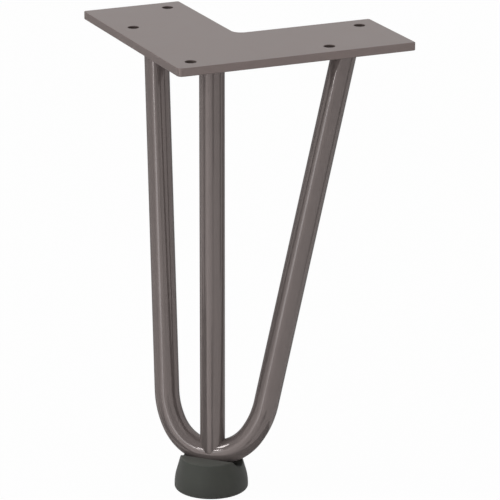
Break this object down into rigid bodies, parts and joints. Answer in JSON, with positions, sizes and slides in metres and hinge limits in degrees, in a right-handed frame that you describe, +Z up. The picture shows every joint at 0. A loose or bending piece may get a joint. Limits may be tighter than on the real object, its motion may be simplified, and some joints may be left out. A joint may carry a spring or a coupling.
{
  "type": "hairpin table leg",
  "caption": "Short hairpin table leg: an L-shaped screw-on plate, a leaning bent-rod hairpin braced by a straight rod, and a grooved glide foot under the bend.",
  "frame": {"origin": "on the plate's top face, straight above the lowest point of the bend and the middle of the foot", "axes": "+Z up, out of the plate's top face; +X and +Y along the two arms of the L-shaped plate"},
  "size_m": [0.12, 0.12, 0.2177],
  "materials": {
    "grey_lacquer": "warm grey lacquer on steel, satin on the plate and glossy on the rods",
    "foot_plastic": "matt olive-charcoal moulded plastic"
  },
  "bodies": {
    "root": {"mounting_plate": "grey_lacquer", "hairpin_rod": "grey_lacquer", "straight_rod": "grey_lacquer", "plate_welds": "grey_lacquer", "foot": "foot_plastic"}
  },
  "joints": []
}
